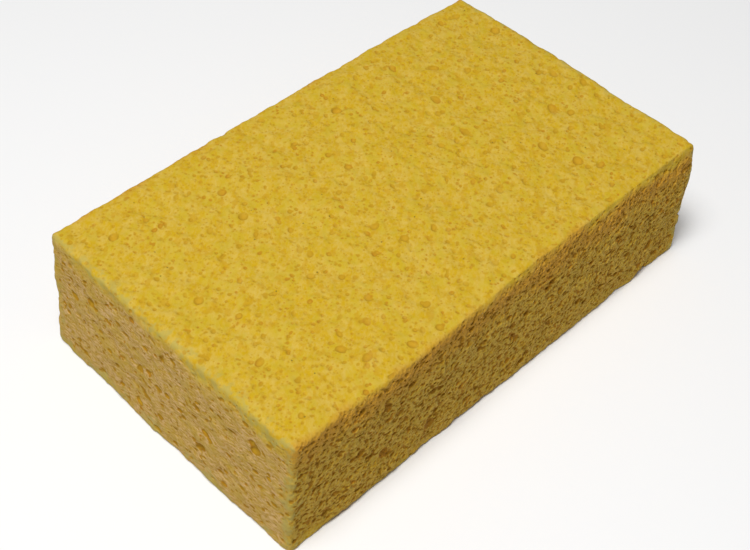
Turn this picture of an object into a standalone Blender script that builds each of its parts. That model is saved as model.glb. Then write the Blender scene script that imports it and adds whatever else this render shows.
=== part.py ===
"""A grout sponge: one block of coarse cellulose foam, cut square from a loaf.

Frame: the origin is the centre of the base, +X runs along the length, +Y across the width, +Z up.
The block's ends and sides bow out a little between its corners, and its top is slightly smaller
than its base. The largest pores are cut as shallow round pits in all six faces, and a few more
break through the long edges and the upright edges as nicks.
"""

import math
import random

import bmesh
import bpy
from mathutils import Matrix, Vector

MM = 0.001

# The block.
LENGTH = 190.0 * MM  # between the bowed ends, at the base
WIDTH = 112.5 * MM  # between the bowed sides, at the base
HEIGHT = 50.0 * MM
TOP_SCALE = 0.985  # the top's length and width over the base's
END_BOW = 0.9 * MM  # how far the middle of an end stands proud of its corners
SIDE_BOW = 0.6 * MM
CORNER_RADIUS = 1.2 * MM  # upright edges, at half height
SHARPEST_CORNER = 0.3 * MM  # and where they meet the level faces
TOP_EDGE_RADIUS = 1.6 * MM  # edges round the top
BASE_EDGE_RADIUS = 0.8 * MM  # edges round the base

# How finely the block is faceted.
LENGTH_STEPS = 10
WIDTH_STEPS = 6
CORNER_STEPS = 3
EDGE_STEPS = 3

# The pits: how many lie in each face, and their sizes.
PITS_ON_TOP = 16
PITS_ON_BASE = 16
PITS_ON_SIDE = 18
PITS_ON_END = 9
PIT_RADIUS = (1.1 * MM, 1.9 * MM)
PIT_STRETCH = (1.0, 1.35)  # a pit's length over its width
PIT_DEPTH_SHARE = (0.6, 0.9)  # a pit's depth over its mean radius
PIT_LIFT = 0.25  # how far a pit's centre stands above the face, over its depth
PIT_GAP = 1.5 * MM  # least foam left between two pits, or between a pit and an edge
PIT_CHOICES = 6  # places tried for each pit; it takes the one farthest from the others
CLEAR_CENTRE = 9.0 * MM  # radius kept whole round the middle of the top and the base

# The nicks: on each half of a long edge, and on each upright edge.
NICK_RADIUS = (0.9 * MM, 1.4 * MM)
CLEAR_MIDDLE = 14.0 * MM  # length kept whole on each side of a long edge's middle
UPRIGHT_SHARE = (0.25, 0.75)  # the heights of the upright edges' nicks, over the block's height
SEED = 7

FOAM_COLOUR = (0.55, 0.36, 0.035, 1.0)
FOAM_ROUGHNESS = 0.95

HALF_LENGTH = LENGTH / 2 - END_BOW
HALF_WIDTH = WIDTH / 2 - SIDE_BOW


def clear_scene():
    for item in list(bpy.data.objects):
        bpy.data.objects.remove(item)


def foam_material():
    material = bpy.data.materials.new("cellulose_foam")
    material.use_nodes = True
    shader = material.node_tree.nodes["Principled BSDF"]
    shader.inputs["Base Color"].default_value = FOAM_COLOUR
    shader.inputs["Roughness"].default_value = FOAM_ROUGHNESS
    shader.inputs["Metallic"].default_value = 0.0
    material.diffuse_color = FOAM_COLOUR
    return material


def bowed(x, y, height):
    """The block's plan point for x, y of a straight-sided rectangle, at that height."""
    scale = 1 + (TOP_SCALE - 1) * height / HEIGHT
    along = x * (1 + END_BOW / HALF_LENGTH * (1 - (y / HALF_WIDTH) ** 2))
    across = y * (1 + SIDE_BOW / HALF_WIDTH * (1 - (x / HALF_LENGTH) ** 2))
    return Vector((along * scale, across * scale, height))


def corner_arc(centre_x, centre_y, radius, first_angle):
    for step in range(CORNER_STEPS + 1):
        angle = first_angle + math.pi / 2 * step / CORNER_STEPS
        yield centre_x + radius * math.cos(angle), centre_y + radius * math.sin(angle)


def outline(inset):
    """The plan of a straight rectangle with round corners, moved in by inset, anticlockwise."""
    radius = max(CORNER_RADIUS - inset, SHARPEST_CORNER)
    reach_x = HALF_LENGTH - inset - radius
    reach_y = HALF_WIDTH - inset - radius
    corners = [(1, 1, WIDTH_STEPS), (-1, 1, LENGTH_STEPS), (-1, -1, WIDTH_STEPS), (1, -1, LENGTH_STEPS)]
    points = []
    for turn, (sign_x, sign_y, steps_before) in enumerate(corners):
        arc = list(corner_arc(sign_x * reach_x, sign_y * reach_y, radius, turn * math.pi / 2))
        if points:
            points += straight_between(points[-1], arc[0], steps_before)
        points += arc
    return points + straight_between(points[-1], points[0], WIDTH_STEPS)


def straight_between(start, end, steps):
    """The points that divide a straight run into steps, without its two ends."""
    start, end = Vector(start), Vector(end)
    return [tuple(start.lerp(end, step / steps)) for step in range(1, steps)]


def edge_arc(radius):
    """Rise and inset of each ring round an edge, from the rim of the level face outwards."""
    arc = []
    for step in range(EDGE_STEPS + 1):
        angle = math.pi / 2 * step / EDGE_STEPS
        arc.append((radius * (1 - math.cos(angle)), radius * (1 - math.sin(angle))))
    return arc


def edge_profile():
    """Height and inset of each ring, from the rim of the base's flat to the rim of the top's."""
    top = [(HEIGHT - rise, inset) for rise, inset in reversed(edge_arc(TOP_EDGE_RADIUS))]
    return edge_arc(BASE_EDGE_RADIUS) + [(HEIGHT / 2, 0.0)] + top


def add_block(material):
    mesh = bpy.data.meshes.new("cellulose_sponge")
    build = bmesh.new()
    rings = []
    for height, inset in edge_profile():
        rings.append([build.verts.new(bowed(x, y, height)) for x, y in outline(inset)])
    for lower, upper in zip(rings, rings[1:]):
        for i in range(len(lower)):
            following = (i + 1) % len(lower)
            build.faces.new((lower[i], lower[following], upper[following], upper[i]))
    build.faces.new(reversed(rings[0]))
    build.faces.new(rings[-1])
    build.to_mesh(mesh)
    build.free()
    mesh.materials.append(material)
    block = bpy.data.objects.new("cellulose_sponge", mesh)
    bpy.context.scene.collection.objects.link(block)
    return block


def face_places():
    """For each face: pits to cut, its half extents, and a function from u, v to point and normal."""
    length_span = HALF_LENGTH - CORNER_RADIUS
    width_span = HALF_WIDTH - CORNER_RADIUS
    middle = HEIGHT / 2
    height_span = middle - TOP_EDGE_RADIUS

    def level(height, up):
        return lambda u, v: (bowed(u, v, height), Vector((0, 0, up)))

    def side(sign):
        return lambda u, v: (bowed(u, sign * HALF_WIDTH, middle + v), Vector((0, sign, 0)))

    def end(sign):
        return lambda u, v: (bowed(sign * HALF_LENGTH, u, middle + v), Vector((sign, 0, 0)))

    return [
        (PITS_ON_TOP, length_span, width_span, level(HEIGHT, 1)),
        (PITS_ON_BASE, length_span, width_span, level(0.0, -1)),
        (PITS_ON_SIDE, length_span, height_span, side(-1)),
        (PITS_ON_SIDE, length_span, height_span, side(1)),
        (PITS_ON_END, width_span, height_span, end(-1)),
        (PITS_ON_END, width_span, height_span, end(1)),
    ]


def pit_matrix(point, normal, radii, turn):
    """Places a unit sphere as a pit: radii are along, across and into the face."""
    facing = normal.to_track_quat("Z", "Y").to_matrix().to_4x4()
    size = Matrix.Diagonal((*radii, 1.0))
    return Matrix.Translation(point) @ facing @ Matrix.Rotation(turn, 4, "Z") @ size


def room(point, radius, taken):
    """The least foam between a pit and the ones already taken."""
    return min(((point - other).length - radius - size for other, size in taken), default=LENGTH)


def choose_place(random_source, length, half_u, half_v, place, taken):
    """A pit's point and normal on one face: the roomiest of a few random places."""
    margin = length + PIT_GAP
    best = None
    best_room = PIT_GAP
    tries = 0
    while best is None or tries < PIT_CHOICES:
        tries += 1
        u = random_source.uniform(margin - half_u, half_u - margin)
        v = random_source.uniform(margin - half_v, half_v - margin)
        point, normal = place(u, v)
        on_centre = abs(normal.z) > 0.5 and point.xy.length < CLEAR_CENTRE + length
        if not on_centre and room(point, length, taken) > best_room:
            best = point, normal
            best_room = room(point, length, taken)
    return best


def choose_pits(random_source):
    """The pits' matrices, scattered over the faces so that no two of them meet."""
    taken = []
    matrices = []
    for count, half_u, half_v, place in face_places():
        for _ in range(count):
            width = random_source.uniform(*PIT_RADIUS)
            length = width * random_source.uniform(*PIT_STRETCH)
            depth = (width + length) / 2 * random_source.uniform(*PIT_DEPTH_SHARE)
            point, normal = choose_place(random_source, length, half_u, half_v, place, taken)
            turn = random_source.uniform(0, math.pi)
            taken.append((point, length))
            matrices.append(pit_matrix(point + normal * depth * PIT_LIFT, normal, (length, width, depth), turn))
    return matrices


def nick_places(random_source):
    """Points on the block's edges: one on each half of each long edge, one on each upright edge."""
    reach = HALF_LENGTH - CORNER_RADIUS - 2 * NICK_RADIUS[1]
    for side in (-1, 1):
        for half in (-1, 1):
            for height in (0.0, HEIGHT):
                along = half * random_source.uniform(CLEAR_MIDDLE, reach)
                yield bowed(along, side * HALF_WIDTH, height)
            share = random_source.uniform(*UPRIGHT_SHARE)
            yield bowed(half * HALF_LENGTH, side * HALF_WIDTH, share * HEIGHT)


def choose_nicks(random_source):
    """Small spheres centred on the block's edges."""
    matrices = []
    for point in nick_places(random_source):
        radius = random_source.uniform(*NICK_RADIUS)
        matrices.append(pit_matrix(point, Vector((0, 0, 1)), (radius,) * 3, 0.0))
    return matrices


def add_pit_cutter(matrices):
    mesh = bpy.data.meshes.new("pit_cutter")
    build = bmesh.new()
    for matrix in matrices:
        bmesh.ops.create_icosphere(build, subdivisions=2, radius=1.0, matrix=matrix)
    build.to_mesh(mesh)
    build.free()
    cutter = bpy.data.objects.new("pit_cutter", mesh)
    bpy.context.scene.collection.objects.link(cutter)
    cutter.hide_render = True
    cutter.display_type = "WIRE"
    return cutter


def cut(block, cutter):
    boolean = block.modifiers.new("pits", "BOOLEAN")
    boolean.operation = "DIFFERENCE"
    boolean.solver = "EXACT"
    boolean.object = cutter


def main():
    clear_scene()
    random_source = random.Random(SEED)
    block = add_block(foam_material())
    matrices = choose_pits(random_source) + choose_nicks(random_source)
    cut(block, add_pit_cutter(matrices))


main()
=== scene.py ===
"""The finished look of the grout sponge: a block of cellulose foam with open pores on every face.

The foam is made as a field of signed distances, in millimetres, on a grid of small cubes. The CAD
solid gives the block's outer form and its largest pits. Seeded noise makes the cut faces uneven, and
thousands of seeded pores are taken out of it. The field's zero surface is the mesh that is shown.
"""

import math

import bmesh
import bpy
import numpy as np
import openvdb
from mathutils import Matrix, Vector


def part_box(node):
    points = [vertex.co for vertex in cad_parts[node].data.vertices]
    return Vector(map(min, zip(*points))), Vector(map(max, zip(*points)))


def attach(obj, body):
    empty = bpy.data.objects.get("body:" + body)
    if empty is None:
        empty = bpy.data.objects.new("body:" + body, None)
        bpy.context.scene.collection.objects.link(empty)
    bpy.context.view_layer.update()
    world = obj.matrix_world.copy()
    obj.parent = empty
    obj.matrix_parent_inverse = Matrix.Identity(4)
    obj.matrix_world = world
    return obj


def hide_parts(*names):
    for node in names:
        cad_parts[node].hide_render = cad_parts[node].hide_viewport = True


MM = 0.001
X, Y, Z = range(3)
NODE = "cellulose_sponge"
SEED = 11

# The voxel grid, in millimetres.
VOXEL = 0.38
MARGIN = 2.0  # empty space kept round the block
BAND = 4.0  # distances are only true this close to a surface
SPLINE_POINTS = 4  # lattice points that each value of the smooth noise is blended from, along an axis

# How uneven the cut faces are: (size of a swell, how far it moves the face), in millimetres.
SWELLS = ((36.0, 0.20), (7.0, 0.19), (2.6, 0.13), (1.1, 0.08))
# Rubbed edges: each of the two faces that meet there and how far the wear reaches over it, then
# how deep it is at the edge, in millimetres.
WEAR = (
    ("top", 7.0, "side", 4.0, 0.9),
    ("top", 2.0, "end", 14.0, 0.5),
    ("side", 3.0, "end", 3.0, 0.3),
    ("base", 3.0, "side", 3.0, 0.4),
    ("base", 3.0, "end", 3.0, 0.4),
)

# How far the near long side leans in at the top, and where along the length the lean starts and is
# whole, in millimetres.
LEAN = 3.2
LEAN_FROM = -70.0
LEAN_TO = 15.0

# Pores by face, as (pores per square centimetre, smallest and largest radius in millimetres,
# how deep the pore's centre sits over its radius, which is below zero outside the face).
LEVEL_PORES = (
    (0.8, 1.0, 2.0, -0.60),
    (3.4, 0.55, 1.00, -0.40),
    (13.0, 0.36, 0.55, -0.15),
)
END_PORES = (
    (1.2, 0.9, 1.4, -0.50),
    (3.0, 0.50, 0.85, -0.35),
    (10.0, 0.34, 0.50, -0.15),
)
SIDE_PORES = (
    (0.9, 0.9, 1.5, -0.30),
    (5.0, 0.55, 0.85, -0.20),
    (40.0, 0.34, 0.58, 0.0),
)
PORES_BY_AXIS = (END_PORES, SIDE_PORES, LEVEL_PORES)
MM2_PER_CM2 = 100.0
SMALL_BIAS = 1.6  # above 1, the small pores of a kind outnumber its large ones
PORE_FLATNESS = 0.85  # a pore's height over its width
# A pore's length over its width, and the angles from +X that its length may lie along, in radians,
# by the axis that its face looks along.
STRETCH_BY_AXIS = ((1.1, 1.7), (1.0, 1.25), (1.0, 1.6))
TURN_BY_AXIS = ((1.3, 1.8), (-0.4, 0.4), (0.0, 1.5))
# How far inside the CAD box a face's edges are taken to lie, and how close to them its pores thin
# out, both in millimetres along the face's two directions, by axis.
SETBACK_BY_AXIS = ((1.8, 0.0), (1.8, 0.0), (0.0, 0.0))
SKIN_BY_AXIS = ((1.2, 4.0), (1.2, 4.0), (4.0, 4.0))
NICKED_SHARE = 0.05  # the share of the pores left at the edge itself
STRAY = 0.3  # how far a pore may lie outside its own cell of the scatter, over the cell's size
PORE_SINK_SPREAD = 0.15  # how far a pore's depth varies, over its radius
PORE_LIP = 0.12  # rounding where a pore meets the face, in millimetres
PORE_SURROUND = 1.0  # how far round a pore its distances are kept, in millimetres

KIND_BLEND = 5.0  # how softly one face's colour passes into the next, in millimetres
TOP_REACH = 3.0  # how far the top's colour reaches down the ends, in millimetres
KIND_WANDER = 1.4  # how far that border wanders, in millimetres,
WANDER_SIZE = 5.0  # in swells this many millimetres across
ISLAND_GAP = 3.0  # empty space between the unwrapped faces, in millimetres

# Foam colours, each for the level faces, the short ends and the long sides.
# The long sides' copy of each colour is darker than the level faces', which is painted shade.
GOLD = ((0.53, 0.330, 0.004, 1.0), (0.45, 0.270, 0.028, 1.0), (0.47, 0.280, 0.019, 1.0))
PALE = ((0.58, 0.400, 0.062, 1.0), (0.61, 0.400, 0.160, 1.0), (0.55, 0.360, 0.052, 1.0))
GREENISH = ((0.51, 0.372, 0.018, 1.0), (0.50, 0.335, 0.050, 1.0), (0.47, 0.320, 0.025, 1.0))
# Painted shade on the wall of each pore, darker than the face round it.
PORE_WALL_SHADE = ((0.45, 0.258, 0.008, 1.0), (0.38, 0.195, 0.007, 1.0), (0.35, 0.170, 0.005, 1.0))
# The bed of each pore: its amber tone, with painted shade on the long sides.
PORE_BED = ((0.51, 0.295, 0.014, 1.0), (0.48, 0.275, 0.010, 1.0), (0.37, 0.170, 0.008, 1.0))
# And for the whole sponge.
# Painted shade deep inside the pores.
DEEP_SHADE = (0.27, 0.115, 0.002, 1.0)
AMBER = (0.50, 0.280, 0.006, 1.0)
OCHRE = (0.46, 0.290, 0.020, 1.0)
# The ends' rims: a pale greenish rubbed tint, dulled as painted shade that holds back the rounded rims'
# highlight.
RUBBED_TINT_AND_SHADE = (0.41, 0.345, 0.088, 1.0)
RUSTY = (0.43, 0.180, 0.007, 1.0)
SKIN = (0.54, 0.265, 0.022, 1.0)
DOT = (0.16, 0.120, 0.015, 1.0)

# Noise of the material: (size of its patches in millimetres, detail, roughness).
FINE_NOISE = (0.9, 3.0, 0.6)
GRAIN_NOISE = (0.6, 3.0, 0.65)
FUZZ_NOISE = (0.55, 3.0, 0.65)
RIM_NOISE = (3.0, 3.0, 0.6)
BED_NOISE = (2.5, 2.0, 0.5)
WALL_SHADE_NOISE = (5.0, 2.0, 0.5)
PATCH_DETAIL = 2.5
PATCH_ROUGHNESS = 0.55
GRAIN_LENGTH = 0.28  # the width over the length of the streaks across the ends
DRAWN_ALONG = 0.72  # the direction, in radians from +X, that the mottling is drawn out along,
DRAWN_OUT = 1.5  # and its length over its width
SHIFT = 2.4  # how far the mottling is broken up, in millimetres,
SHIFT_SWELLS = 0.6  # by noise with this many swells to a millimetre
SHIFT_DETAIL = 2.0

# Spacing of the material's random points, in millimetres.
CELL_SPACING = 3.0  # cells of the mottling
SPECK_SPACING = 1.5
WEB_SPACING = 1.2  # the finest pores on the long sides
DOT_SPACING = 6.0

# Patches of colour: (their size in millimetres, the noise where they start and the noise where they
# are whole, their strength there).
RUSTY_PATCHES = (4.0, 0.50, 0.62, 0.6)
GREENISH_PATCHES = (5.0, 0.46, 0.64, 0.5)
AMBER_PATCHES = (3.0, 0.54, 0.66, 0.6)
OCHRE_PATCHES = (5.0, 0.48, 0.62, 0.35)
AMBER_ON_ENDS = 0.4  # the share of the amber that the ends keep
GRAIN_ON_ENDS = 0.9  # the share of the ends' mottling that is their grain

# How one value follows another: (from here, to here, the value at the first, at the second).
# By the distance from the nearest random point, over their spacing:
CELLS = (0.25, 0.80, 0.0, 1.0)
# Of these, the specks and the web are painted shade of fine pores, and the ridges are painted highlights
# between those on the sides.
SPECK_SHADE = (0.12, 0.30, 0.7, 0.0)
WEB_SHADE = (0.15, 0.50, 0.85, 0.0)
RIDGE_HIGHLIGHTS = (0.55, 0.80, 0.0, 0.6)
DOTS = (0.035, 0.06, 0.75, 0.0)
# By noise:
FINE_MOTTLE = (0.38, 0.62, 0.0, 1.0)
GRAIN = (0.41, 0.59, 0.0, 1.0)
RIM_BLUR = (0.3, 0.7, -3.0, 3.0)  # to millimetres
BED_STRENGTH = (0.38, 0.60, 0.25, 0.95)
WALL_SHADE_STRENGTH = (0.42, 0.58, 0.55, 0.95)
# By millimetres below the top, from the rim of an end, and below the face:
SKIN_BELOW_TOP = (4.0, 16.0, 0.85, 0.0)
# The ends' rims, whose rubbed tint is partly painted shade:
RUBBED_TINT_AND_SHADE_FROM_RIM = (0.2, 4.8, 0.65, 0.0)
# These paint shade into the pores of the mesh by depth below the face; the beds also take their amber
# tone.
WALL_SHADE_BY_DEPTH = (0.05, 0.22, 0.0, 1.0)
BED_BY_DEPTH = (0.25, 0.60, 0.0, 1.0)
DEEP_SHADE_BY_DEPTH = (0.8, 2.0, 0.0, 1.0)

# Relief too fine for the mesh: (strength, how far its highest points stand proud in millimetres).
FUZZ_BUMP = (0.5, 0.12)
WEB_BUMP = (1.0, 0.65)
GRAIN_BUMP = (1.0, 0.7)
FOAM_ROUGHNESS = 0.92
FOAM_SPECULAR = 0.25

FLOOR_COLOUR = (0.86, 0.86, 0.86, 1.0)
FLOOR_ROUGHNESS = 0.9
FLOOR_SIZE = 6.0  # in metres

# Light: a pale room, a soft lamp near the sponge and an even light from the same direction, which
# reaches the far floor. In metres, watts, and watts per square metre for the even light.
SKY_STRENGTH = 0.16
KEY_AIM = (0.0, 0.0, 0.03)
KEY_PLACE = (-0.224, -0.056, 0.695)
KEY_SIZE = 0.25
KEY_POWER = 2.6
EVEN_STRENGTH = 1.67
EVEN_SPREAD = 20.0  # how wide the even light looks from the sponge, in degrees

# The camera circles the centre of the base and is turned a little about its own line of sight, in
# degrees. Its distance and its shift across that line are in metres, its lens in millimetres.
CAMERA_AZIMUTH = -48.846
CAMERA_ELEVATION = 47.047
CAMERA_ROLL = 5.217
CAMERA_DISTANCE = 0.48920
CAMERA_RIGHT = -0.00179
CAMERA_UP = 0.00556
CAMERA_LENS = 67.94
CAMERA_SENSOR = 36.0
CAMERA_CLIP = 0.01  # nothing nearer than this is shown, in metres


# ---------------------------------------------------------------- the grid


class Grid:
    """A box of voxel centres round the CAD node, in millimetres."""

    def __init__(self, low, high):
        self.first = np.floor((low - MARGIN) / VOXEL).astype(int)
        last = np.ceil((high + MARGIN) / VOXEL).astype(int)
        self.shape = tuple(int(n) for n in last - self.first)
        self.transform = openvdb.createLinearTransform(voxelSize=VOXEL)

    def corner(self):
        return tuple(int(n) for n in self.first)

    def axis(self, index):
        """Coordinates of the voxels along one axis, in millimetres."""
        return ((self.first[index] + np.arange(self.shape[index])) * VOXEL).astype(np.float32)


def mesh_arrays(mesh):
    """A mesh's points in millimetres and its triangles."""
    points = np.empty(len(mesh.vertices) * 3, np.float32)
    mesh.vertices.foreach_get("co", points)
    mesh.calc_loop_triangles()
    triangles = np.empty(len(mesh.loop_triangles) * 3, np.int32)
    mesh.loop_triangles.foreach_get("vertices", triangles)
    return points.reshape(-1, 3) / MM, triangles.reshape(-1, 3).astype(np.uint32)


def solid_field(grid, mesh):
    """Signed distance to a closed mesh, below zero inside it."""
    points, triangles = mesh_arrays(mesh)
    level_set = openvdb.FloatGrid.createLevelSetFromPolygons(
        points, triangles=triangles, transform=grid.transform, halfWidth=BAND / VOXEL
    )
    field = np.empty(grid.shape, np.float32)
    level_set.copyToArray(field, ijk=grid.corner())
    return field


# ---------------------------------------------------------------- noise


def spline_weights(count, cell_voxels):
    """For each of count voxels, the first of the lattice points round it, and the weights of them all
    in a cubic spline."""
    place = np.arange(count) / cell_voxels
    first = np.floor(place).astype(int)
    t = (place - first).astype(np.float32)
    weights = (
        (1 - t) ** 3 / 6,
        (3 * t**3 - 6 * t**2 + 4) / 6,
        (-3 * t**3 + 3 * t**2 + 3 * t + 1) / 6,
        t**3 / 6,
    )
    return first, weights


def smooth_noise(grid, cell, random_source):
    """Smooth noise with a spread of about 1, whose swells are about cell millimetres across."""
    cell_voxels = cell / VOXEL
    lattice_shape = [int(count / cell_voxels) + 1 + SPLINE_POINTS for count in grid.shape]
    values = random_source.standard_normal(lattice_shape).astype(np.float32)
    for axis, count in enumerate(grid.shape):
        first, weights = spline_weights(count, cell_voxels)
        shape = [1, 1, 1]
        shape[axis] = count
        blended = 0
        for step, weight in enumerate(weights):
            blended = blended + values.take(first + step, axis=axis) * weight.reshape(shape)
        values = blended.astype(np.float32)
    return values / values.std()


# ---------------------------------------------------------------- pores


def scatter(random_source, count, spread_u, spread_v):
    """About count points spread evenly but not regularly over a rectangle, one in each cell of a grid."""
    columns = max(1, round(math.sqrt(count * spread_u / spread_v)))
    rows = max(1, round(count / columns))
    u, v = np.meshgrid(np.arange(columns), np.arange(rows), indexing="ij")
    u = (u.ravel() + random_source.uniform(-STRAY, 1 + STRAY, u.size)) / columns - 0.5
    v = (v.ravel() + random_source.uniform(-STRAY, 1 + STRAY, v.size)) / rows - 0.5
    inside = (np.abs(u) < 0.5) & (np.abs(v) < 0.5)
    return u[inside] * spread_u, v[inside] * spread_v


def face_places(grid, block, axis, sign):
    """Where each column of voxels along an axis first meets the block, coming from that side.
    Columns that miss the block hold nan."""
    column = np.moveaxis(block, axis, 0)
    coordinates = grid.axis(axis)
    if sign > 0:
        column, coordinates = column[::-1], coordinates[::-1]
    first = (column < 0).argmax(axis=0)
    inner = np.take_along_axis(column, first[None], axis=0)[0]
    outer = np.take_along_axis(column, np.maximum(first - 1, 0)[None], axis=0)[0]
    share = outer / (outer - inner)
    places = coordinates[first - 1] + (coordinates[first] - coordinates[first - 1]) * share
    return np.where(first > 0, places, np.nan)


def share_kept(u, v, reach, spread_u, spread_v, axis):
    """How likely each pore is to be kept: only a few of those that would break an edge are."""
    to_edges = np.stack([spread_u / 2 - np.abs(u), spread_v / 2 - np.abs(v)], axis=1)
    room = (to_edges - SETBACK_BY_AXIS[axis] - reach[:, None]) / SKIN_BY_AXIS[axis]
    return np.clip(room.min(axis=1), NICKED_SHARE, 1)


def face_pores(grid, block, low, high, axis, sign, random_source):
    """Pores over one face of the block: rows of centre and radius, in millimetres, and stretch."""
    middle = (low + high) / 2
    others = [n for n in range(3) if n != axis]
    spread_u, spread_v = (high - low)[others]
    places = face_places(grid, block, axis, sign)
    pores = []
    for density, smallest, largest, sink in PORES_BY_AXIS[axis]:
        count = density * spread_u * spread_v / MM2_PER_CM2
        u, v = scatter(random_source, count, spread_u, spread_v)
        radius = smallest + (largest - smallest) * random_source.uniform(0, 1, u.size) ** SMALL_BIAS
        depth = radius * (sink + random_source.uniform(-PORE_SINK_SPREAD, PORE_SINK_SPREAD, u.size))
        centre = np.empty((u.size, 3))
        centre[:, others] = middle[others] + np.column_stack([u, v])
        cell = np.rint(centre[:, others] / VOXEL).astype(int) - grid.first[others]
        centre[:, axis] = places[cell[:, 0], cell[:, 1]] - sign * depth
        stretch = random_source.uniform(*STRETCH_BY_AXIS[axis], u.size)
        share = share_kept(u, v, radius * stretch, spread_u, spread_v, axis)
        kept = np.isfinite(centre[:, axis]) & (random_source.uniform(0, 1, u.size) < share)
        pores.append(np.column_stack([centre, radius, stretch])[kept])
    return np.vstack(pores)


def pore_field(grid, block, low, high, random_source):
    """Signed distance to the union of all pores, below zero inside a pore."""
    field = np.full(grid.shape, BAND, np.float32)
    axes = [grid.axis(n) for n in range(3)]
    for axis in range(3):
        for sign in (-1, 1):
            pores = face_pores(grid, block, low, high, axis, sign, random_source)
            for *centre, radius, stretch in pores:
                turn = random_source.uniform(*TURN_BY_AXIS[axis])
                cut_pore(field, grid, axes, centre, radius, turn, stretch)
    return field


def cut_pore(field, grid, axes, centre, radius, turn, stretch):
    """Takes one pore, a flattened ball stretched along a level direction, into the field."""
    reach = radius * stretch + PORE_SURROUND
    box = []
    for axis in range(3):
        start = int((centre[axis] - reach) / VOXEL) - grid.first[axis]
        stop = int((centre[axis] + reach) / VOXEL) - grid.first[axis] + 2
        box.append(slice(max(0, start), min(grid.shape[axis], max(0, stop))))
    if any(s.stop <= s.start for s in box):
        return
    x = (axes[X][box[X]] - centre[X])[:, None, None]
    y = (axes[Y][box[Y]] - centre[Y])[None, :, None]
    z = (axes[Z][box[Z]] - centre[Z])[None, None, :] / PORE_FLATNESS
    along = (x * math.cos(turn) + y * math.sin(turn)) / stretch
    across = y * math.cos(turn) - x * math.sin(turn)
    distance = np.sqrt(along**2 + across**2 + z**2) - radius
    window = field[tuple(box)]
    np.minimum(window, distance * PORE_FLATNESS, out=window)


def smooth_max(a, b, width):
    """The larger of two fields, with the crease between them rounded over width."""
    overlap = np.clip(width - np.abs(a - b), 0, None)
    return np.maximum(a, b) + overlap**2 / (4 * width)


# ---------------------------------------------------------------- the mesh


def surface(grid, field):
    """Points in millimetres and quads of the field's zero surface."""
    shown = openvdb.FloatGrid(BAND)
    shown.transform = grid.transform
    shown.copyFromArray(np.ascontiguousarray(field), ijk=grid.corner())
    points, _, quads = shown.convertToPolygons(isovalue=0.0, adaptivity=0.0)
    return points, quads


def keep_largest(points, quads):
    """Drops every part that isn't joined to the largest one."""
    label = np.arange(len(points))
    edges = np.vstack([quads[:, [n, (n + 1) % 4]] for n in range(4)])
    while True:
        before = label.copy()
        smallest = np.minimum(label[edges[:, 0]], label[edges[:, 1]])
        np.minimum.at(label, edges[:, 0], smallest)
        np.minimum.at(label, edges[:, 1], smallest)
        label = label[label]
        if np.array_equal(label, before):
            break
    names, counts = np.unique(label, return_counts=True)
    kept = label == names[counts.argmax()]
    new_index = np.cumsum(kept) - 1
    quads = quads[kept[quads[:, 0]]]
    return points[kept], new_index[quads]


def sample(grid, field, points):
    """The field's value at each point, blended from the eight voxels round it."""
    place = points / VOXEL - grid.first
    base = np.clip(np.floor(place).astype(int), 0, np.array(grid.shape) - 2)
    share = place - base
    total = np.zeros(len(points))
    for step in np.ndindex(2, 2, 2):
        weight = np.abs(1 - np.array(step) - share).prod(axis=1)
        total += weight * field[tuple((base + step).T)]
    return total


def add_mesh(name, points, quads):
    mesh = bpy.data.meshes.new(name)
    mesh.vertices.add(len(points))
    mesh.vertices.foreach_set("co", (points * MM).astype(np.float32).ravel())
    mesh.loops.add(quads.size)
    mesh.loops.foreach_set("vertex_index", quads.astype(np.int32).ravel())
    mesh.polygons.add(len(quads))
    mesh.polygons.foreach_set("loop_start", np.arange(0, quads.size, quads.shape[1], dtype=np.int32))
    mesh.update(calc_edges=True)
    mesh.validate()
    mesh.shade_smooth()
    piece = bpy.data.objects.new(name, mesh)
    bpy.context.scene.collection.objects.link(piece)
    return piece


def add_point_value(mesh, name, values):
    attribute = mesh.attributes.new(name, "FLOAT", "POINT")
    attribute.data.foreach_set("value", values.astype(np.float32))


def hull_mesh(mesh):
    """The convex hull of a mesh: the block without its pits."""
    build = bmesh.new()
    build.from_mesh(mesh)
    hull = bmesh.ops.convex_hull(build, input=build.verts)
    inside = hull["geom_interior"] + hull["geom_unused"]
    points_inside = [item for item in inside if isinstance(item, bmesh.types.BMVert)]
    bmesh.ops.delete(build, geom=points_inside, context="VERTS")
    result = bpy.data.meshes.new("hull")
    build.to_mesh(result)
    build.free()
    return result


def behind_faces(grid, block, axis):
    """Distance behind the nearer of the two faces across an axis, by place along it and by height."""
    heights = grid.axis(Z)
    along = grid.axis(axis)[:, None]
    faces = []
    for sign in (-1, 1):
        places = face_places(grid, block, axis, sign)
        met = np.isfinite(places).any(axis=0)
        faces.append(np.interp(heights, heights[met], np.nanmedian(places[:, met], axis=0)))
    return np.minimum(along - faces[0], faces[1] - along)


def edge_wear(grid, block, low, high):
    """How far each voxel near the block's edges is rubbed back."""
    heights = grid.axis(Z)[None, None, :]
    distances = {
        "end": behind_faces(grid, block, X)[:, None, :],
        "side": behind_faces(grid, block, Y)[None, :, :],
        "top": high[Z] - heights,
        "base": heights - low[Z],
    }
    wear = np.zeros(grid.shape, np.float32)
    for first, reach_over_first, second, reach_over_second, depth in WEAR:
        over_first = np.clip(1 - distances[second] / reach_over_first, 0, 1)
        over_second = np.clip(1 - distances[first] / reach_over_second, 0, 1)
        wear += depth * (over_first * over_second) ** 2
    return wear


def leaning_cut(grid, low, high):
    """Signed distance to a cut along the near long side that leans in towards the top."""
    x, y, z = (grid.axis(axis) for axis in range(3))
    along = np.clip((x - LEAN_FROM) / (LEAN_TO - LEAN_FROM), 0, 1)
    share = (along**2 * (3 - 2 * along))[:, None, None]
    rise = (np.clip(z / high[Z], 0, 1) ** 2)[None, None, :]
    return low[Y] + LEAN * share * rise - y[None, :, None]


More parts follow.
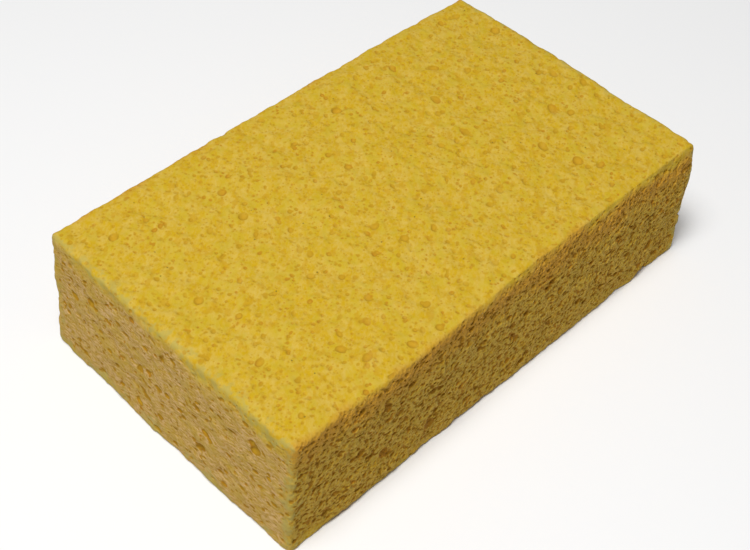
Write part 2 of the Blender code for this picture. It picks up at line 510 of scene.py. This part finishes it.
def worn_fields(grid, cad_mesh, low, high, random_source):
    """Signed distances to the leaning, uneven and rubbed block, without its pits and with them."""
    cut = leaning_cut(grid, low, high)
    hull = np.maximum(solid_field(grid, hull_mesh(cad_mesh)), cut)
    block = np.maximum(solid_field(grid, cad_mesh), cut)
    changes = [smooth_noise(grid, cell, random_source) * height for cell, height in SWELLS]
    changes.append(edge_wear(grid, hull, low, high))
    for change in changes:
        hull += change
        block += change
    return hull, block


def add_face_values(mesh, points, low, high, wander):
    """Values for the material: how far a point belongs to a short end and to a long side, from 0 to 1,
    and its distance from the rim of an end and its depth below the top, in millimetres."""
    to_end, to_side, to_level = np.minimum(points - low, high - points).T
    to_level = to_level + wander
    below_top = high[Z] - points[:, Z] + wander
    end_room = np.minimum(np.minimum(to_side, to_level), below_top - TOP_REACH)
    end = np.clip((end_room - to_end) / KIND_BLEND + 0.5, 0, 1)
    side = np.clip((np.minimum(to_end, to_level) - to_side) / KIND_BLEND + 0.5, 0, 1)
    add_point_value(mesh, "end", end)
    add_point_value(mesh, "side", side)
    add_point_value(mesh, "end_rim", np.maximum(to_end, np.minimum(to_side, to_level)))
    add_point_value(mesh, "below_top", below_top)


# ---------------------------------------------------------------- unwrapping


def add_bake_layout(mesh, points, quads, low, high):
    """Gives each of the block's six faces an island of its own, all at one scale."""
    centres = points[quads].mean(axis=1)
    from_faces = []
    for axis in range(3):
        from_faces += [centres[:, axis] - low[axis], high[axis] - centres[:, axis]]
    nearest = np.repeat(np.argmin(from_faces, axis=0), quads.shape[1])
    corner = points[quads.ravel()] - low
    length, width, thickness = high - low
    row = width + ISLAND_GAP
    column = length + ISLAND_GAP
    islands = (
        (Z, Y, column, 0.0),
        (Z, Y, column, row),
        (X, Z, 0.0, 2 * row),
        (X, Z, 0.0, 2 * row + thickness + ISLAND_GAP),
        (X, Y, 0.0, 0.0),
        (X, Y, 0.0, row),
    )
    whole = 2 * row + 2 * (thickness + ISLAND_GAP)
    uv = np.empty((quads.size, 2), np.float32)
    for number, (across, up, left, bottom) in enumerate(islands):
        here = nearest == number
        uv[here, 0] = (corner[here, across] + left + ISLAND_GAP / 2) / whole
        uv[here, 1] = (corner[here, up] + bottom + ISLAND_GAP / 2) / whole
    layer = mesh.uv_layers.new(name="OFBake")
    layer.data.foreach_set("uv", uv.ravel())


# ---------------------------------------------------------------- the sponge


def make_sponge(cad_mesh):
    low, high = (np.array(corner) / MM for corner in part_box(NODE))
    grid = Grid(low, high)
    random_source = np.random.default_rng(SEED)
    hull, block = worn_fields(grid, cad_mesh, low, high, random_source)
    pores = pore_field(grid, hull, low, high, random_source)
    above_base = -grid.axis(Z)[None, None, :]
    foam = np.maximum(smooth_max(block, -pores, PORE_LIP), above_base)
    points, quads = keep_largest(*surface(grid, np.clip(foam, -BAND, BAND)))
    sponge = add_mesh("sponge_foam", points, quads)
    add_point_value(sponge.data, "depth", -sample(grid, hull, points))
    wander = sample(grid, smooth_noise(grid, WANDER_SIZE, random_source), points) * KIND_WANDER
    add_face_values(sponge.data, points, low, high, wander)
    add_bake_layout(sponge.data, points, quads, low, high)
    return sponge


# ---------------------------------------------------------------- material


def feed(tree, socket, value):
    """Links a socket to another one, or sets its value."""
    if isinstance(value, bpy.types.NodeSocket):
        tree.links.new(value, socket)
    else:
        socket.default_value = value


def add_node(tree, kind, inputs=None, **settings):
    """Adds a shader node. Each input is a socket to link or a value to set."""
    made = tree.nodes.new(kind)
    for name, value in settings.items():
        setattr(made, name, value)
    for name, value in (inputs or {}).items():
        feed(tree, made.inputs[name], value)
    return made


def noise(tree, place, size, detail, roughness):
    """Noise from 0 to 1 whose patches are about size millimetres across."""
    inputs = {"Vector": place, "Scale": 1 / size, "Detail": detail, "Roughness": roughness}
    return add_node(tree, "ShaderNodeTexNoise", inputs).outputs["Fac"]


def remap(tree, value, low, high, to_low, to_high):
    """Maps low..high onto to_low..to_high, clamped, with soft ends."""
    inputs = {"Value": value, "From Min": low, "From Max": high, "To Min": to_low, "To Max": to_high}
    return add_node(tree, "ShaderNodeMapRange", inputs, interpolation_type="SMOOTHSTEP").outputs["Result"]


def mix(tree, factor, first, second, data_type="RGBA", suffix="Color"):
    """Mixes two colours, or two values of another data type, whose sockets end in suffix."""
    made = add_node(tree, "ShaderNodeMix", data_type=data_type)
    sockets = {socket.identifier: socket for socket in made.inputs}
    feed(tree, sockets["Factor_Float"], factor)
    feed(tree, sockets["A_" + suffix], first)
    feed(tree, sockets["B_" + suffix], second)
    return next(socket for socket in made.outputs if socket.identifier == "Result_" + suffix)


def mix_value(tree, factor, first, second):
    """Mixes two numbers."""
    return mix(tree, factor, first, second, "FLOAT", "Float")


def math_node(tree, operation, first, second):
    return add_node(tree, "ShaderNodeMath", {0: first, 1: second}, operation=operation).outputs["Value"]


def times(tree, first, second):
    return math_node(tree, "MULTIPLY", first, second)


def vector_math(tree, operation, *values):
    inputs = dict(enumerate(values))
    return add_node(tree, "ShaderNodeVectorMath", inputs, operation=operation).outputs["Vector"]


def from_points(tree, place, spacing):
    """Distance to the nearest of random points about spacing millimetres apart, over spacing."""
    inputs = {"Vector": place, "Scale": 1 / spacing}
    return add_node(tree, "ShaderNodeTexVoronoi", inputs).outputs["Distance"]


def attribute(tree, name):
    return add_node(tree, "ShaderNodeAttribute", attribute_name=name).outputs["Fac"]


def by_face(tree, colours):
    """Blends the colours of the level faces, the ends and the sides."""
    level_colour, end_colour, side_colour = colours
    level_or_end = mix(tree, attribute(tree, "end"), level_colour, end_colour)
    return mix(tree, attribute(tree, "side"), level_or_end, side_colour)


def patches(tree, place, size, low, high, strength):
    """Soft patches of noise, from 0 to strength."""
    return remap(tree, noise(tree, place, size, PATCH_DETAIL, PATCH_ROUGHNESS), low, high, 0.0, strength)


def end_grain(tree, place):
    """Fine level streaks, from 0 to 1, for the ends."""
    across = vector_math(tree, "MULTIPLY", place, (1.0, GRAIN_LENGTH, 1.0))
    return noise(tree, across, *GRAIN_NOISE)


def add_bump(tree, height, strength, distance, normal=None):
    """A bump whose highest points stand distance millimetres proud, over the bump of another normal."""
    inputs = {"Height": height, "Strength": strength, "Distance": distance * MM}
    if normal is not None:
        inputs["Normal"] = normal
    return add_node(tree, "ShaderNodeBump", inputs).outputs["Normal"]


def foam_relief(tree, place):
    """The relief too fine for the mesh: fuzz everywhere, fine pores on the sides, grain on the ends."""
    normal = add_bump(tree, noise(tree, place, *FUZZ_NOISE), *FUZZ_BUMP)
    web = times(tree, from_points(tree, place, WEB_SPACING), attribute(tree, "side"))
    normal = add_bump(tree, web, *WEB_BUMP, normal)
    grain = times(tree, end_grain(tree, place), attribute(tree, "end"))
    return add_bump(tree, grain, *GRAIN_BUMP, normal)


def drawn_out_place(tree, place):
    """The place, stretched so that a pattern in it is drawn out along one level direction."""
    inputs = {"Vector": place, "Rotation": (0.0, 0.0, DRAWN_ALONG), "Scale": (DRAWN_OUT, 1.0, 1.0)}
    return add_node(tree, "ShaderNodeMapping", inputs, vector_type="TEXTURE").outputs["Vector"]


def broken_up_place(tree, place, drawn):
    """The drawn-out place, moved about by noise so that a pattern in it has ragged borders."""
    inputs = {"Vector": place, "Scale": SHIFT_SWELLS, "Detail": SHIFT_DETAIL}
    moves = add_node(tree, "ShaderNodeTexNoise", inputs).outputs["Color"]
    return vector_math(tree, "MULTIPLY_ADD", moves, (SHIFT,) * 3, drawn)


def mottled_colour(tree, place, drawn, shifted):
    """The foam's colour on its cut faces, between the pores."""
    end = attribute(tree, "end")
    cells = remap(tree, from_points(tree, shifted, CELL_SPACING), *CELLS)
    fine = remap(tree, noise(tree, drawn, *FINE_NOISE), *FINE_MOTTLE)
    mottle = times(tree, math_node(tree, "ADD", cells, fine), 0.5)
    grain = remap(tree, end_grain(tree, place), *GRAIN)
    mottle = mix_value(tree, times(tree, end, GRAIN_ON_ENDS), mottle, grain)
    colour = mix(tree, mottle, by_face(tree, GOLD), by_face(tree, PALE))
    colour = mix(tree, patches(tree, drawn, *GREENISH_PATCHES), colour, by_face(tree, GREENISH))
    amber_share = remap(tree, end, 0.0, 1.0, 1.0, AMBER_ON_ENDS)
    amber = times(tree, patches(tree, shifted, *AMBER_PATCHES), amber_share)
    colour = mix(tree, amber, colour, AMBER)
    return mix(tree, times(tree, patches(tree, shifted, *OCHRE_PATCHES), end), colour, OCHRE)


def add_fine_pore_shade_and_highlights(tree, place, colour, pore_shade):
    """Painted shade of pores too fine for the mesh: specks everywhere, and a web of them on the sides."""
    side = attribute(tree, "side")
    colour = mix(tree, remap(tree, from_points(tree, place, SPECK_SPACING), *SPECK_SHADE), colour, pore_shade)
    web = from_points(tree, place, WEB_SPACING)
    colour = mix(tree, times(tree, remap(tree, web, *WEB_SHADE), side), colour, pore_shade)
    # The ridges between the web's pores take the long sides' pale colour as painted highlights.
    *_, ridge_highlight = PALE
    return mix(tree, times(tree, remap(tree, web, *RIDGE_HIGHLIGHTS), side), colour, ridge_highlight)


def add_edge_wear_and_shade(tree, place, colour):
    """Colours the brown band under the top of the sides and the ends' rims: a pale rubbed tint, dulled as
    painted shade.
    """
    skin = remap(tree, attribute(tree, "below_top"), *SKIN_BELOW_TOP)
    colour = mix(tree, times(tree, skin, attribute(tree, "side")), colour, SKIN)
    blur = remap(tree, noise(tree, place, *RIM_NOISE), *RIM_BLUR)
    # The rims' rubbed tint, dulled as painted shade.
    to_rim = math_node(tree, "ADD", attribute(tree, "end_rim"), blur)
    return mix(tree, remap(tree, to_rim, *RUBBED_TINT_AND_SHADE_FROM_RIM), colour, RUBBED_TINT_AND_SHADE)


def add_pore_shade(tree, shifted, colour, pore_shade):
    """Paints shade into the pores of the mesh by their depth. On the level faces, the wall shade varies.
    """
    depth = attribute(tree, "depth")
    end_or_side = math_node(tree, "MAXIMUM", attribute(tree, "end"), attribute(tree, "side"))
    varied = remap(tree, noise(tree, shifted, *WALL_SHADE_NOISE), *WALL_SHADE_STRENGTH)
    wall_shade_strength = math_node(tree, "MAXIMUM", varied, end_or_side)
    colour = mix(tree, times(tree, remap(tree, depth, *WALL_SHADE_BY_DEPTH), wall_shade_strength), colour, pore_shade)
    # The beds take their amber tone, and painted shade on the long sides.
    bed_strength = remap(tree, noise(tree, shifted, *BED_NOISE), *BED_STRENGTH)
    bed = times(tree, remap(tree, depth, *BED_BY_DEPTH), bed_strength)
    colour = mix(tree, bed, colour, by_face(tree, PORE_BED))
    # Painted shade, darkest deep inside the pores.
    return mix(tree, remap(tree, depth, *DEEP_SHADE_BY_DEPTH), colour, DEEP_SHADE)


def foam_colour(tree, place):
    drawn = drawn_out_place(tree, place)
    shifted = broken_up_place(tree, place, drawn)
    # The colour of the painted shade in pores, with rusty patches in it.
    pore_shade = mix(tree, patches(tree, shifted, *RUSTY_PATCHES), by_face(tree, PORE_WALL_SHADE), RUSTY)
    colour = mottled_colour(tree, place, drawn, shifted)
    colour = add_fine_pore_shade_and_highlights(tree, place, colour, pore_shade)
    colour = add_edge_wear_and_shade(tree, place, colour)
    colour = add_pore_shade(tree, shifted, colour, pore_shade)
    return mix(tree, remap(tree, from_points(tree, place, DOT_SPACING), *DOTS), colour, DOT)


def foam_material():
    material = bpy.data.materials.new("cellulose_foam")
    material.use_nodes = True
    tree = material.node_tree
    shader = tree.nodes["Principled BSDF"]
    metres = add_node(tree, "ShaderNodeTexCoord").outputs["Object"]
    to_mm = {"Vector": metres, "Scale": (1 / MM,) * 3}
    place = add_node(tree, "ShaderNodeMapping", to_mm).outputs["Vector"]
    tree.links.new(foam_colour(tree, place), shader.inputs["Base Color"])
    tree.links.new(foam_relief(tree, place), shader.inputs["Normal"])
    shader.inputs["Roughness"].default_value = FOAM_ROUGHNESS
    shader.inputs["Specular IOR Level"].default_value = FOAM_SPECULAR
    return material


def floor_material():
    material = bpy.data.materials.new("pale_floor")
    material.use_nodes = True
    shader = material.node_tree.nodes["Principled BSDF"]
    shader.inputs["Base Color"].default_value = FLOOR_COLOUR
    shader.inputs["Roughness"].default_value = FLOOR_ROUGHNESS
    return material


# ---------------------------------------------------------------- floor, light and camera


def add_floor():
    bpy.ops.mesh.primitive_plane_add(size=FLOOR_SIZE)
    floor = bpy.context.object
    floor.name = "floor"
    floor.data.materials.append(floor_material())


def add_lamp(name, light, power):
    """Puts a light at the lamp's place, aimed at the sponge."""
    light.energy = power
    lamp = bpy.data.objects.new(name, light)
    lamp.location = KEY_PLACE
    lamp.rotation_euler = (Vector(KEY_AIM) - Vector(KEY_PLACE)).to_track_quat("-Z", "Y").to_euler()
    bpy.context.scene.collection.objects.link(lamp)


def add_lamps():
    near = bpy.data.lights.new("near_lamp", "AREA")
    near.shape = "DISK"
    near.size = KEY_SIZE
    add_lamp("near_lamp", near, KEY_POWER)
    even = bpy.data.lights.new("even_light", "SUN")
    even.angle = math.radians(EVEN_SPREAD)
    add_lamp("even_light", even, EVEN_STRENGTH)


def add_sky():
    world = bpy.data.worlds.new("soft_room")
    world.use_nodes = True
    background = world.node_tree.nodes["Background"]
    background.inputs["Color"].default_value = (1.0, 1.0, 1.0, 1.0)
    background.inputs["Strength"].default_value = SKY_STRENGTH
    bpy.context.scene.world = world


def add_camera():
    azimuth, elevation = math.radians(CAMERA_AZIMUTH), math.radians(CAMERA_ELEVATION)
    back = Vector(
        (
            math.sin(azimuth) * math.cos(elevation),
            -math.cos(azimuth) * math.cos(elevation),
            math.sin(elevation),
        )
    )
    level = (-back).to_track_quat("-Z", "Y").to_matrix().to_4x4()
    turned = level @ Matrix.Rotation(math.radians(CAMERA_ROLL), 4, "Z")
    offset = turned @ Vector((CAMERA_RIGHT, CAMERA_UP, 0.0))
    lens = bpy.data.cameras.new("camera")
    lens.lens = CAMERA_LENS
    lens.sensor_width = CAMERA_SENSOR
    lens.clip_start = CAMERA_CLIP
    camera = bpy.data.objects.new("camera", lens)
    camera.matrix_world = Matrix.Translation(back * CAMERA_DISTANCE + offset) @ turned
    bpy.context.scene.collection.objects.link(camera)
    bpy.context.scene.camera = camera


def show_true_colours():
    bpy.context.scene.view_settings.view_transform = "Standard"
    bpy.context.scene.view_settings.look = "None"


# ---------------------------------------------------------------- run

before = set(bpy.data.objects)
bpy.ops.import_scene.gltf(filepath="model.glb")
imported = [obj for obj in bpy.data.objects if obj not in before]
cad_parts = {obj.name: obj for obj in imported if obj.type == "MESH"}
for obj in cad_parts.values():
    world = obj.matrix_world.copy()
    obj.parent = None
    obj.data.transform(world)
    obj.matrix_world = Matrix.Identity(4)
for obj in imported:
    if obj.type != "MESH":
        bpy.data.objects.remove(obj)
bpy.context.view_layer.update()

sponge = make_sponge(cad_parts[NODE].data)
sponge.data.materials.append(foam_material())
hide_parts(NODE)
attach(sponge, "root")

add_floor()
add_sky()
add_lamps()
add_camera()
show_true_colours()
